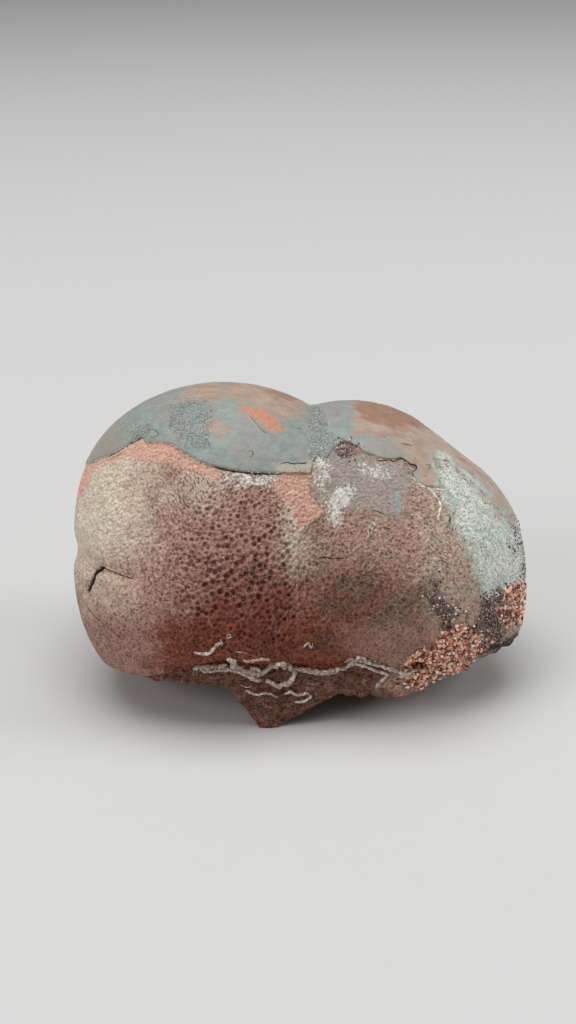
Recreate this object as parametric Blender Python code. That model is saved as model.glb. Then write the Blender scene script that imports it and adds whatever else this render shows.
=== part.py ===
"""Botryoidal hematite, a loose hand specimen of kidney ore: one grown stone, so one solid.

It rests on its broken base: a keel of broken rock in front touches the table with its tip, and the
base is broken off flat behind it. Frame: +X along the row of lobes, -Y is the side with the face,
+Z up, origin under the middle of the stone's box, on the table.
"""
import bpy
import numpy as np

# driving dimensions
WIDTH = 0.072            # stone from side to side
PIXELS_WIDE = 452.0      # the same width in the picture
VIEW_DISTANCE = 226.5    # mm from the eye to the stone's middle
LEAN = 25.0              # degrees: how far the face leans back
CENTRE = (288.0, 512.0)  # picture point that the line of sight runs through
SEAM_BLEND = 0.8         # mm: rounding of the valley between the two main lobes, at the top
CREASE_DEPTH = 0.7       # mm
TIP_DEPTH = -9.0         # mm: the keel's tip, in front of the stone's middle plane
TIP_CUT = 0.5            # mm worn off the keel's tip, which makes its small foot
BACK_BREAK = 16.0        # mm: the broken back, behind the middle
CELLS = 26               # facets along one side of each of the six patches
NAME = "hematite_stone"

PX_PER_MM = PIXELS_WIDE / (WIDTH * 1000.0)
SIN, COS = np.sin(np.radians(LEAN)), np.cos(np.radians(LEAN))

# The lobes as ellipsoids: centre in the picture (px), depth (mm), radii (px, px, mm), and the
# rounding (mm) where each one joins those before it. Depth runs into the stone from the face.
LEFT_LOBES = [
    (224, 503.5, 1.0, 144, 119.5, 18.8, 0.0),  # crown
    (223.5, 583, -1.0, 122, 118, 19.0, 6.0),   # face
    (156, 573, -1.0, 78.5, 114.5, 15.0, 5.0),  # cheek
    (212, 540, 9.0, 105, 105, 15.0, 3.0),      # back
]
RIGHT_LOBES = [
    (349, 500.5, 2.0, 112, 98.5, 17.5, 0.0),   # crown
    (403.5, 568.5, 3.0, 120, 127, 17.5, 3.0),  # shoulder
    (378, 577, -1.0, 116, 118, 18.5, 5.0),     # face
    (479.5, 610.5, 1.0, 40.5, 61, 9.0, 2.0),   # heel
    (360, 520, 10.0, 85, 85, 12.5, 3.0),       # back
    (420, 590, 10.0, 65, 75, 11.0, 3.0),       # low back
]
BRIDGE = (300, 622, -1.0, 95, 62, 14.5, 3.0)
BEAD = (398, 670, -6.5, 32, 24.5, 6.5, 1.5)
CHEEK_CREASE = [(66, 541), (85, 555), (95, 565), (103, 568), (118, 573), (132, 577)]
HEEL_CREASE = [(425, 572), (440, 600), (447, 625), (437, 648), (418, 664)]


def across(x, depth=0.0):
    """Distance to the right (mm) of picture column x, at a depth."""
    return (x - CENTRE[0]) / PX_PER_MM * (1.0 + depth / VIEW_DISTANCE)


def up(y, depth=0.0):
    """Distance up the face (mm) of picture row y, at a depth."""
    return (CENTRE[1] - y) / PX_PER_MM * (1.0 + depth / VIEW_DISTANCE)


TIP = np.array([across(266, TIP_DEPTH), up(732, TIP_DEPTH), TIP_DEPTH])
TABLE = TIP[1] * COS - TIP[2] * SIN + TIP_CUT


def to_row(p):
    """From (right, up the face, into the stone) to X, Y, Z with the table at Z = 0, in mm."""
    y = p[:, 1] * SIN + p[:, 2] * COS
    z = p[:, 1] * COS - p[:, 2] * SIN - TABLE
    return np.column_stack([p[:, 0], y, z])


def union(a, b, blend):
    """The nearer of two surfaces, with the corner between them rounded over blend mm."""
    blend = np.maximum(blend, 1e-6)
    h = np.maximum(blend - np.abs(a - b), 0.0) / blend
    return np.minimum(a, b) - h * h * blend * 0.25


def cut(a, b, blend):
    return -union(-a, -b, blend)


def ramp(x, a, b):
    t = np.clip((x - a) / (b - a), 0.0, 1.0)
    return t * t * (3.0 - 2.0 * t)


def lobe(p, spec):
    """Distance from an ellipsoid, negative inside."""
    x, y, depth, rx, ry, rz = spec[:6]
    k = 1.0 + depth / VIEW_DISTANCE
    q = p - np.array([across(x, depth), up(y, depth), depth])
    r = np.array([rx / PX_PER_MM * k, ry / PX_PER_MM * k, rz])
    k0 = np.sqrt(((q / r) ** 2).sum(1))
    k1 = np.sqrt(((q / r ** 2) ** 2).sum(1)) + 1e-9
    return k0 * (k0 - 1.0) / k1


def lobes(p, specs):
    field = lobe(p, specs[0])
    for spec in specs[1:]:
        field = union(field, lobe(p, spec), spec[6])
    return field


def plane(p, point, normal):
    n = np.array(normal, float)
    return (p - np.array(point, float)) @ (n / np.linalg.norm(n))


def below(p, x0, y0, x1, y1, depth, tilt=0.12):
    """Distance below a line drawn in the picture, as a cut that runs into the stone."""
    a = np.array([across(x0, depth), up(y0, depth)])
    b = np.array([across(x1, depth), up(y1, depth)])
    t = (b - a) / np.linalg.norm(b - a)
    return plane(p, (a[0], a[1], depth), (t[1], -t[0], tilt))


def crease(p, line, depth, half_width):
    """A groove along a line drawn in the picture, on the face only."""
    flat = p[:, :2] / (1.0 + p[:, 2:3] / VIEW_DISTANCE)
    points = np.array([(across(x), up(y)) for x, y in line])
    nearest = np.full(len(p), 1e9)
    for a, b in zip(points[:-1], points[1:]):
        t = np.clip(((flat - a) @ (b - a)) / ((b - a) @ (b - a)), 0.0, 1.0)
        nearest = np.minimum(nearest, np.linalg.norm(flat - a - t[:, None] * (b - a), axis=1))
    return depth * np.exp(-(nearest / half_width) ** 2) * (1.0 - ramp(p[:, 2], 0.0, 6.0))


def stone(p):
    """The whole stone: negative inside, positive outside, in mm."""
    low = ramp(p[:, 1], up(505), up(600))
    field = union(lobes(p, LEFT_LOBES), lobes(p, RIGHT_LOBES), SEAM_BLEND + 3.0 * low)
    field = union(field, lobe(p, BRIDGE), BRIDGE[6])

    # broken rock under the crust: its face leans in below the rim
    face = plane(p, (0, up(662, -12), -12.0), (0.03, -0.29, -1.0))
    over_rim = up(660, -12) - p[:, 1]
    rock = np.maximum(np.maximum(face, -over_rim), p[:, 2] - 6.0)
    rock = cut(rock, plane(p, (across(388, -11), up(680, -11), 0), (1, 0.3, 0)), 0.5)
    rock = cut(rock, plane(p, (across(165, -11), up(676, -11), 0), (-1, 0, -1)), 0.5)
    field = cut(union(field, rock, 0.6), np.minimum(over_rim, face), 0.3)

    # broken base, with the keel that comes down to a point
    base = cut(below(p, 178, 674, 234, 692, -11), below(p, 234, 692, 362, 690, -11), 0.3)
    keel = cut(below(p, 232, 690, 262, 732, TIP_DEPTH), below(p, 270, 732, 340, 691, TIP_DEPTH), 0.4)
    keel = cut(keel, plane(p, (TIP[0], TIP[1], TIP[2] + 1.0), (0, -0.715, 0.7)), 0.4)
    base = union(below(p, 100, 667, 178, 674, -6), union(base, keel, 0.3), 0.3)
    field = cut(field, base, 0.5)
    field = cut(field, below(p, 425, 681, 516, 643, -5, 0.05), 0.5)
    field = union(field, lobe(p, BEAD), BEAD[6])

    field = field + crease(p, CHEEK_CREASE, CREASE_DEPTH, 2.2)
    field = field + crease(p, HEEL_CREASE, CREASE_DEPTH, 2.2)

    # three breaks across the low back, and the flat that the stone rests on
    row = to_row(p)
    field = cut(field, plane(row, (0, BACK_BREAK, 12), (0.05, 1.0, -0.42)), 0.8)
    field = cut(field, plane(row, (-22.5, 10, 8), (-0.7, 0.75, -0.4)), 0.8)
    field = cut(field, plane(row, (25.5, 10, 8), (0.75, 0.65, -0.5)), 0.8)
    return np.maximum(field, -row[:, 2])


def ball(cells):
    """Directions and triangles of a cube blown up to a ball, in even steps of angle."""
    steps = np.tan((np.arange(cells + 1) / cells * 2.0 - 1.0) * np.pi / 4.0)
    axes = [(0, 1, 2), (1, 2, 0), (2, 0, 1)]
    index = {}
    points = []
    quads = []
    for i, j, k in axes:
        for side in (-1, 1):
            grid = np.empty((cells + 1, cells + 1), int)
            for a in range(cells + 1):
                for b in range(cells + 1):
                    key = [0, 0, 0]
                    key[i] = a
                    key[j] = b
                    key[k] = cells if side > 0 else 0
                    key = tuple(key)
                    if key not in index:
                        index[key] = len(points)
                        points.append([steps[c] for c in key])
                    grid[a, b] = index[key]
            for a in range(cells):
                for b in range(cells):
                    quad = (grid[a, b], grid[a + 1, b], grid[a + 1, b + 1], grid[a, b + 1])
                    quads.append(quad if side < 0 else quad[::-1])
    points = np.array(points)
    return points / np.linalg.norm(points, axis=1)[:, None], np.array(quads)


for old in list(bpy.data.objects):
    bpy.data.objects.remove(old, do_unlink=True)

# walk out from the middle along each direction to the first crossing, then halve onto it
middle = np.array([across(290), up(560), 3.0])
ways, quads = ball(CELLS)
reach = np.full(len(ways), 6.0)
walking = np.ones(len(ways), bool)
for stride in range(220):
    walking &= stone(middle + ways * (reach + 0.25)[:, None]) < 0.0
    reach[walking] += 0.25
near, far = reach.copy(), reach + 0.25
for halving in range(20):
    mid = (near + far) / 2.0
    inside = stone(middle + ways * mid[:, None]) < 0.0
    near = np.where(inside, mid, near)
    far = np.where(inside, far, mid)
face_points = middle + ways * near[:, None]
points = to_row(face_points)

# the keel's tip is a corner of the mesh, and what is within a hair of the table lies on it
tip_row = to_row(TIP[None, :])[0]
nearest = np.argmin(np.linalg.norm(points - tip_row, axis=1))
points[nearest] = (tip_row[0], tip_row[1], 0.0)
points[points[:, 2] < 0.03, 2] = 0.0
low_corner, high_corner = points.min(0), points.max(0)
points[:, 0] -= (low_corner[0] + high_corner[0]) / 2.0
points[:, 1] -= (low_corner[1] + high_corner[1]) / 2.0

# each four-sided facet is split along its shorter diagonal
triangles = []
for a, b, c, d in quads:
    if np.linalg.norm(points[a] - points[c]) <= np.linalg.norm(points[b] - points[d]):
        triangles += [(a, b, c), (a, c, d)]
    else:
        triangles += [(a, b, d), (b, c, d)]

mesh = bpy.data.meshes.new(NAME)
mesh.from_pydata([tuple(v) for v in points / 1000.0], [], [tuple(int(i) for i in t) for t in triangles])
mesh.validate()
mesh.update()
body = bpy.data.objects.new(NAME, mesh)
bpy.context.scene.collection.objects.link(body)

hematite = bpy.data.materials.new("hematite")
hematite.use_nodes = True
shader = hematite.node_tree.nodes["Principled BSDF"]
shader.inputs["Base Color"].default_value = (0.105, 0.055, 0.05, 1.0)
shader.inputs["Roughness"].default_value = 0.45
shader.inputs["Metallic"].default_value = 0.0
mesh.materials.append(hematite)
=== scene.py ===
import math
import random

import bmesh
import bpy
import numpy as np
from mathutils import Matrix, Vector, kdtree, noise
from mathutils.bvhtree import BVHTree


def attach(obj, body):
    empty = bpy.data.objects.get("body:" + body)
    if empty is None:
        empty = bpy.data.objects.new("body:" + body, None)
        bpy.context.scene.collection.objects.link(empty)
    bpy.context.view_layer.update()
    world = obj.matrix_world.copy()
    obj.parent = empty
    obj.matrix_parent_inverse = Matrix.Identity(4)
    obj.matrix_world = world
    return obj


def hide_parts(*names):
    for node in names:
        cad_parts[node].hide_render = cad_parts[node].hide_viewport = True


# Botryoidal hematite on a table: the looks of the stone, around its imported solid. The stone is laid
# out face on in mm, as (right, up the face, into the stone), and then leaned back onto its base. Its
# meshes are in metres. Places and outlines on it are picture points: (column, row).
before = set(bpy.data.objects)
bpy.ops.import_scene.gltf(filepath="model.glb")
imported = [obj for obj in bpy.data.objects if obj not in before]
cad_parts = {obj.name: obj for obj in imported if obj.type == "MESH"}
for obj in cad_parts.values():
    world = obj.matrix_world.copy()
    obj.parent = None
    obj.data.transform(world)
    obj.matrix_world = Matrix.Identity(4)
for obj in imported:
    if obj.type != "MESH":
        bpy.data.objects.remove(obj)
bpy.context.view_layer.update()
scene = bpy.context.scene

# The view. The eye looks at the stone's face square on, and the face leans back 25 degrees, so the
# eye is 25 degrees above the table.
CENTRE = (288.0, 512.0)
PX_PER_MM = 452.0 / 72.0
VIEW_DISTANCE = 226.5
LEAN = math.radians(25.0)
SIN = math.sin(LEAN)
COS = math.cos(LEAN)
UNCENTRED = np.array([2.09906407, -1.61507465, 0.0])  # the solid's middle, before it was centred


def across(x, depth=0.0):
    """Distance to the right (mm) of picture column x, at a depth."""
    return (x - CENTRE[0]) / PX_PER_MM * (1.0 + depth / VIEW_DISTANCE)


def up(y, depth=0.0):
    """Distance up the face (mm) of picture row y, at a depth."""
    return (CENTRE[1] - y) / PX_PER_MM * (1.0 + depth / VIEW_DISTANCE)


KEEL_DEPTH = -9.0
KEEL_TIP = (across(266, KEEL_DEPTH), up(732, KEEL_DEPTH), KEEL_DEPTH)
TABLE_HEIGHT = KEEL_TIP[1] * COS - KEEL_TIP[2] * SIN + 0.5


def lean_back(p):
    """Face-on mm to the part's X, Y, Z in mm."""
    y = p[:, 1] * SIN + p[:, 2] * COS
    z = p[:, 1] * COS - p[:, 2] * SIN - TABLE_HEIGHT
    return np.column_stack([p[:, 0], y, z]) - UNCENTRED


eye = lean_back(np.array([[0.0, 0.0, -VIEW_DISTANCE]]))[0] / 1000.0
camera = bpy.data.objects.new("eye", bpy.data.cameras.new("eye"))
camera.data.lens = 50.0
camera.data.sensor_width = 36.0
camera.data.clip_start = 0.01
camera.location = eye
camera.rotation_euler = (math.pi / 2.0 - LEAN, 0.0, 0.0)
scene.collection.objects.link(camera)
scene.camera = camera

# The table: a plain pale sheet of matt paper. It is turned from one profile, and curves up all
# round, well out of the stone's way.
DISH_PROFILE = [(0.9, 0.0), (1.7, 0.0), (1.95, 0.03), (2.15, 0.13), (2.3, 0.32), (2.38, 0.7), (2.4, 1.9)]
DISH_STEPS = 96
dish_points = [(0.0, 0.0, 0.0)]
for r, z in DISH_PROFILE:
    for k in range(DISH_STEPS):
        turn = 2 * math.pi * k / DISH_STEPS
        dish_points.append((r * math.cos(turn), r * math.sin(turn), z))
dish_faces = [(0, 1 + k, 1 + (k + 1) % DISH_STEPS) for k in range(DISH_STEPS)]
for ring in range(len(DISH_PROFILE) - 1):
    for k in range(DISH_STEPS):
        a = 1 + ring * DISH_STEPS + k
        b = 1 + ring * DISH_STEPS + (k + 1) % DISH_STEPS
        dish_faces.append((a, a + DISH_STEPS, b + DISH_STEPS, b))
dish = bpy.data.meshes.new("table")
dish.from_pydata(dish_points, [], dish_faces)
for face in dish.polygons:
    face.use_smooth = True
paper = bpy.data.materials.new("pale paper")
paper.use_nodes = True
paper.node_tree.nodes["Principled BSDF"].inputs["Base Color"].default_value = (0.62, 0.62, 0.61, 1.0)
paper.node_tree.nodes["Principled BSDF"].inputs["Roughness"].default_value = 0.75
dish.materials.append(paper)
table = bpy.data.objects.new("table", dish)
scene.collection.objects.link(table)

# The light: one broad soft box overhead and a little in front, two weaker ones at the sides, and a
# dim even surround, as under a ceiling panel.
world = bpy.data.worlds.new("surround")
world.use_nodes = True
world.node_tree.nodes["Background"].inputs["Color"].default_value = (0.80, 0.83, 0.85, 1.0)
world.node_tree.nodes["Background"].inputs["Strength"].default_value = 0.27
scene.world = world
for name, place, turn, size, watts in (
        ("overhead", (-0.08, 0.05, 1.10), (0.05, -0.09, 0.0), (1.02, 0.84), 9.6),
        ("left", (-0.92, -0.56, 0.56), (1.08, 0.0, -0.98), (0.56, 0.48), 4.4),
        ("right", (0.98, 0.06, 0.62), (0.98, 0.0, 1.35), (0.50, 0.46), 4.4)):
    lamp = bpy.data.lights.new(name, "AREA")
    lamp.shape = "RECTANGLE"
    lamp.size, lamp.size_y = size
    lamp.energy = watts
    holder = bpy.data.objects.new(name, lamp)
    holder.location = place
    holder.rotation_euler = turn
    scene.collection.objects.link(holder)
scene.view_settings.view_transform = "Standard"

# The stone: kidney ore, two rows of hematite lobes grown together, with rock broken off below the
# crust's rim, a keel that comes down to the table, and a broken base and back. Its shape is the
# solid's, on a finer mesh, with the pits, the skin's step and the splinters pressed into it.

# a lobe: column, row, depth in mm, radii in px, px, mm, rounding in mm where it joins those before it
LEFT_LOBES = [(224, 503.5, 1.0, 144, 119.5, 18.8, 0.0), (223.5, 583, -1.0, 122, 118, 19.0, 6.0),
              (156, 573, -1.0, 78.5, 114.5, 15.0, 5.0), (212, 540, 9.0, 105, 105, 15.0, 3.0)]
RIGHT_LOBES = [(349, 500.5, 2.0, 112, 98.5, 17.5, 0.0), (403.5, 568.5, 3.0, 120, 127, 17.5, 3.0),
               (378, 577, -1.0, 116, 118, 18.5, 5.0), (479.5, 610.5, 1.0, 40.5, 61, 9.0, 2.0),
               (360, 520, 10.0, 85, 85, 12.5, 3.0), (420, 590, 10.0, 65, 75, 11.0, 3.0)]
BRIDGE = (300, 622, -1.0, 95, 62, 14.5, 3.0)
BEAD = (398, 670, -6.5, 32, 24.5, 6.5, 1.5)
CHEEK_CREASE = [(66, 541), (77, 546), (82, 555), (90, 564), (103, 568), (118, 573), (132, 578)]
HEEL_CREASE = [(426, 596), (439, 613), (444, 634), (438, 644), (431, 651), (416, 659)]
CREASE_DEPTH = 0.7
CREASE_HALF_WIDTH = 9.0
RIM = [(100, 664), (150, 668), (180, 669), (194, 667), (210, 663), (228, 660), (246, 665),
       (262, 666), (299, 666), (325, 667), (340, 665), (353, 659), (368, 660), (380, 664),
       (391, 667), (402, 668), (420, 668)]
LOW_LEFT_BREAK = (100, 667, 178, 674, -6)
BASE_BREAK = (234, 692, 362, 690, -11)
HEEL_BREAK = (425, 681, 516, 643, -5, 0.05)
BACK_BREAKS = [((0, 16.0, 12), (0.05, 1.0, -0.42)), ((-22.5, 10, 8), (-0.7, 0.75, -0.4)),
               ((25.5, 10, 8), (0.75, 0.65, -0.5))]


def union(a, b, blend):
    """The nearer of two surfaces, with the corner between them rounded over blend mm."""
    blend = np.maximum(blend, 1e-6)
    h = np.maximum(blend - np.abs(a - b), 0.0) / blend
    return np.minimum(a, b) - h * h * blend * 0.25


def cut(a, b, blend):
    return -union(-a, -b, blend)


def ramp(x, a, b):
    t = np.clip((x - a) / (b - a), 0.0, 1.0)
    return t * t * (3.0 - 2.0 * t)


def lobe(p, spec):
    """Distance from an ellipsoid, negative inside."""
    x, y, depth, rx, ry, rz = spec[:6]
    k = 1.0 + depth / VIEW_DISTANCE
    q = p - np.array([across(x, depth), up(y, depth), depth])
    r = np.array([rx / PX_PER_MM * k, ry / PX_PER_MM * k, rz])
    k0 = np.sqrt(((q / r) ** 2).sum(1))
    k1 = np.sqrt(((q / r ** 2) ** 2).sum(1)) + 1e-9
    return k0 * (k0 - 1.0) / k1


def lobes(p, specs):
    field = lobe(p, specs[0])
    for spec in specs[1:]:
        field = union(field, lobe(p, spec), spec[6])
    return field


def plane(p, point, normal):
    n = np.array(normal, float)
    return (p - np.array(point, float)) @ (n / np.linalg.norm(n))


def below(p, x0, y0, x1, y1, depth, tilt=0.12):
    """Distance below a line drawn in the picture, as a break that runs into the stone."""
    a = np.array([across(x0, depth), up(y0, depth)])
    b = np.array([across(x1, depth), up(y1, depth)])
    t = (b - a) / np.linalg.norm(b - a)
    return plane(p, (a[0], a[1], depth), (t[1], -t[0], tilt))


def seen_at(p):
    """Picture column and row of face-on points."""
    k = PX_PER_MM / (1.0 + p[:, 2] / VIEW_DISTANCE)
    return np.column_stack([CENTRE[0] + p[:, 0] * k, CENTRE[1] - p[:, 1] * k])


def from_line(xy, line):
    """Distance in picture pixels from a drawn line, and how far along it (0 to 1)."""
    line = np.array(line, float)
    lengths = np.linalg.norm(np.diff(line, axis=0), axis=1)
    start = np.concatenate([[0.0], np.cumsum(lengths)])
    nearest = np.full(len(xy), 1e9)
    along = np.zeros(len(xy))
    for a, b, length, s in zip(line[:-1], line[1:], lengths, start):
        t = np.clip(((xy - a) @ (b - a)) / length ** 2, 0.0, 1.0)
        d = np.linalg.norm(xy - a - t[:, None] * (b - a), axis=1)
        closer = d < nearest
        nearest[closer] = d[closer]
        along[closer] = (s + t[closer] * length) / start[-1]
    return nearest, along


def height_of(line, columns):
    """Picture row of a line drawn from left to right, at each column."""
    x, y = np.array(line, float).T
    return np.interp(columns, x, y)


def stone(p):
    """The smooth shape: negative inside, positive outside, in mm."""
    low = ramp(p[:, 1], up(505), up(600))
    field = union(lobes(p, LEFT_LOBES), lobes(p, RIGHT_LOBES), 0.8 + 3.0 * low)
    field = union(field, lobe(p, BRIDGE), BRIDGE[6])
    xy = seen_at(p)
    face = plane(p, (0, up(662, -12), -12.0), (0.03, -0.29, -1.0))
    over_rim = up(height_of(RIM, xy[:, 0]) - 4.0, -12) - p[:, 1]
    rock = np.maximum(np.maximum(face, -over_rim), p[:, 2] - 6.0)
    rock = cut(rock, plane(p, (across(388, -11), up(680, -11), 0), (1, 0.3, 0)), 0.5)
    rock = cut(rock, plane(p, (across(165, -11), up(676, -11), 0), (-1, 0, -1)), 0.5)
    field = cut(union(field, rock, 0.6), np.minimum(over_rim, face), 0.3)
    under = cut(below(p, 178, 674, 234, 692, -11), below(p, *BASE_BREAK), 0.3)
    keel = cut(below(p, 232, 690, 262, 732, KEEL_DEPTH), below(p, 270, 732, 340, 691, KEEL_DEPTH), 0.4)
    keel = cut(keel, plane(p, (KEEL_TIP[0], KEEL_TIP[1], KEEL_TIP[2] + 1.0), (0, -0.715, 0.7)), 0.4)
    under = union(below(p, *LOW_LEFT_BREAK), union(under, keel, 0.3), 0.3)
    field = cut(field, under, 0.5)
    field = cut(field, below(p, *HEEL_BREAK), 0.5)
    field = union(field, lobe(p, BEAD), BEAD[6])
    front = 1.0 - ramp(p[:, 2], 0.0, 6.0)
    for line in (CHEEK_CREASE, HEEL_CREASE):
        away, along = from_line(xy, line)
        field = field + CREASE_DEPTH * np.exp(-(away / CREASE_HALF_WIDTH) ** 2) * front
    row = lean_back(p) + UNCENTRED
    for point, way in BACK_BREAKS:
        field = cut(field, plane(row, point, way), 0.8)
    return np.maximum(field, -row[:, 2])


CORE = np.array([across(290), up(560), 3.0])


def outwards(ways):
    """The surface points straight out from the stone's core, along unit directions."""
    reach = np.full(len(ways), 6.0)
    for stride in range(18):
        reach += np.maximum(-stone(CORE + ways * reach[:, None]) * 0.8, 0.0)
    near = reach - 0.3
    far = reach + 0.9
    for halving in range(10):
        mid = (near + far) / 2.0
        within = stone(CORE + ways * mid[:, None]) < 0.0
        near = np.where(within, mid, near)
        far = np.where(within, far, mid)
    return CORE + ways * near[:, None]


def unit(v):
    return v / np.linalg.norm(v, axis=1)[:, None]


def ball(cells):
    """Directions and quads of a cube blown up to a ball, and each quad corner's place on its side."""
    steps = np.tan((np.arange(cells + 1) / cells * 2.0 - 1.0) * np.pi / 4.0)
    index = {}
    points = []
    quads = []
    corners = []
    for side in range(6):
        i = side // 2
        high = side % 2
        grid = np.empty((cells + 1, cells + 1), int)
        for a in range(cells + 1):
            for b in range(cells + 1):
                key = [0, 0, 0]
                key[i] = cells * high
                key[(i + 1) % 3] = a
                key[(i + 2) % 3] = b
                key = tuple(key)
                if key not in index:
                    index[key] = len(points)
                    points.append([steps[k] for k in key])
                grid[a, b] = index[key]
        a, b = np.meshgrid(np.arange(cells), np.arange(cells), indexing="ij")
        a = a.ravel()
        b = b.ravel()
        loop = [(a, b), (a + 1, b), (a + 1, b + 1), (a, b + 1)]
        if high:
            loop = loop[::-1]
        quads.append(np.stack([grid[q] for q in loop], 1))
        shelf = np.array([side % 3 + 0.02, side // 3 + 0.02])
        place = np.stack([np.stack(q, 1) / cells * 0.96 for q in loop], 1) + shelf
        corners.append(place / np.array([3.0, 2.0]))
    return unit(np.array(points)), np.concatenate(quads), np.concatenate(corners)


# more of the mesh goes to the face, where the pits are
ways, quads, corners = ball(128)
ways = unit(ways + np.array([0.0, 0.0, -0.42]))
base = outwards(ways)

# the smooth outer skin's lower edge, closed above the stone
SKIN_EDGE = [(30, 300), (30, 485), (60, 476), (89, 463.4), (107, 455.8), (124, 447.3), (134, 441.2),
             (142, 437.4), (146, 443), (161, 442), (172, 444.3), (184, 452), (199, 461), (218, 467.2),
             (233, 470.3), (248, 472.6), (268, 473.4), (282, 473.1), (310, 473.5), (313, 462),
             (318, 456), (326, 460), (333, 448), (345, 441), (356, 446), (363, 452), (380, 458),
             (391, 459.5), (401, 458), (408, 464), (416, 465.4), (416, 470), (412, 472.7), (415, 480),
             (422, 486), (440, 488), (438, 472), (434, 459.5), (447, 461), (458, 471), (473, 483),
             (486, 495), (498, 511), (507, 522), (545, 550), (560, 300)]


def inside(xy, outline):
    """Picture pixels inside a drawn outline, negative outside it."""
    away, along = from_line(xy, outline + outline[:1])
    x, y = xy.T
    odd = np.zeros(len(xy), bool)
    for (xa, ya), (xb, yb) in zip(outline, outline[1:] + outline[:1]):
        crosses = (ya > y) != (yb > y)
        odd ^= crosses & (x < (xb - xa) * (y - ya) / (yb - ya + 1e-12) + xa)
    return np.where(odd, away, -away)


def rough(p, scale, seed=0.0):
    """One layer of smooth noise, -1 to 1, at a size in mm."""
    shift = Vector((seed, seed * 1.7, seed * 0.3))
    return np.array([noise.noise(Vector(q) / scale + shift) for q in p])


def picture_place(p):
    """Where a point's markings are read: the face's own place, drawn down over the crown's back."""
    sunk = p[:, 2] - 2.0 + 4.0 * rough(p, 7.0, 31.0) * ramp(p[:, 2], 2.0, 8.0)
    return seen_at(p) - np.column_stack([np.zeros(len(p)), 170.0 * ramp(sunk, 2.0, 30.0)])


def skin_slope(way):
    """How fast the distance inside the skin's edge grows along a picture direction."""
    return (inside(xy + way, SKIN_EDGE) - inside(xy - way, SKIN_EDGE)) / (2 * NUDGE)


# mesh rows are drawn towards the skin's edge, so that its step is crisp
NUDGE = 0.35
xy = picture_place(base)
edge = inside(xy, SKIN_EDGE)
off_edge = np.abs(edge)
shift = (edge * off_edge / (off_edge + 2.0) - edge) * (off_edge < 14.0)
shift *= 1.0 - ramp(base[:, 2], 0.0, 3.0)
shift *= 1.0 - ramp(off_edge, 7.0, 14.0)
moved = base.copy()
moved[:, 0] += shift * skin_slope(np.array([NUDGE, 0])) / PX_PER_MM
moved[:, 1] -= shift * skin_slope(np.array([0, NUDGE])) / PX_PER_MM
ways = unit(moved - CORE)
base = outwards(ways)

# the face-on axes are left-handed, so the normals come out the wrong way round if they point in
quad_normals = np.cross(base[quads[:, 2]] - base[quads[:, 0]], base[quads[:, 1]] - base[quads[:, 3]])
normal = np.zeros_like(base)
for corner in range(4):
    np.add.at(normal, quads[:, corner], quad_normals)
normal /= np.linalg.norm(normal, axis=1)[:, None] + 1e-12
if (normal * ways).sum() < 0.0:
    normal = -normal

xy = picture_place(base)
plain_xy = seen_at(base)
px, py = plain_xy.T
row = lean_back(base)
height = row[:, 2]
into = base[:, 2]
skin_px = inside(xy, SKIN_EDGE)


def soft(outline, width, wobble=0.0):
    """0 outside to 1 inside an outline, over a width in picture pixels."""
    return ramp(inside(xy + wobble, outline), -width, width)


wander = sum(np.column_stack([rough(base, size, 5.0), rough(base, size, 9.0)]) * much
             for size, much in ((4.0, 5.0), (1.5, 3.0), (0.8, 1.6)))
wx, wy = wander.T
front = 1.0 - ramp(into, 2.0, 9.0)

# broken rock: under the rim, under the right heel, the base, and the low back up to a wavering line
ROCK_LINE = [(150, 676), (180, 671), (194, 668), (210, 664), (228, 662), (246, 667), (262, 668),
             (299, 668), (325, 669), (340, 667), (353, 660), (368, 661), (380, 665), (391, 669),
             (402, 672), (418, 683), (432, 681), (472, 659), (514, 643), (530, 640)]
below_rim = py - height_of(ROCK_LINE, px)
base_cut = np.minimum(below(base, *LOW_LEFT_BREAK), below(base, *BASE_BREAK))
back_cut = np.max([plane(row + UNCENTRED, point, way) for point, way in BACK_BREAKS], axis=0)
back_cut += 0.35 * rough(base, 2.2, 41.0)
back_line = 19.0 * ramp(row[:, 1], 2.0, 13.0) - 1.5
back_line = back_line + 2.2 * rough(base, 6.0, 43.0) + 1.1 * rough(base, 2.0, 47.0)
back = np.maximum(ramp(back_line - height, -0.6, 0.6), ramp(back_cut, -0.55, -0.1)) * ramp(into, 4.0, 8.0)
broken = np.maximum.reduce([
    ramp(below_rim, -0.5, 1.5) * (px < 405) * (into < 3.0),
    ramp(base_cut, -0.5, -0.15) * (into > -12.5),
    back,
    ramp(below(base, *HEEL_BREAK), -0.45, -0.1),
    (height < 0.05).astype(float)])

# pits: their middles are sown no closer than the local spacing, wide in the middle of the left
# lobe and fine towards the cheek and on the right lobe, after the eight deepest ones
DEEPEST_PITS = [(227, 577), (256, 578), (204, 585), (186, 569), (259, 597), (239, 606), (237, 565),
                (246, 574)]
DEEPEST_GAP = 0.5
BIN_SIZE = 1.7
dice = random.Random(4)
off_middle = np.hypot(px - 246.0, (py - 575.0) / 0.95)
spacing = np.clip(1.42 - 0.74 * ramp(off_middle, 22.0, 112.0), 0.66, 1.5)
crust = np.where(skin_px < -1.0, 1.0, 0.0) * (1.0 - broken) * (1.0 - ramp(into, 9.0, 13.0))
open_crust = np.flatnonzero(crust > 0.3)
order = list(open_crust)
dice.shuffle(order)
deepest = [open_crust[np.argmin(((plain_xy[open_crust] - q) ** 2).sum(1))] for q in DEEPEST_PITS]
taken = {}
middles = []


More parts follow.
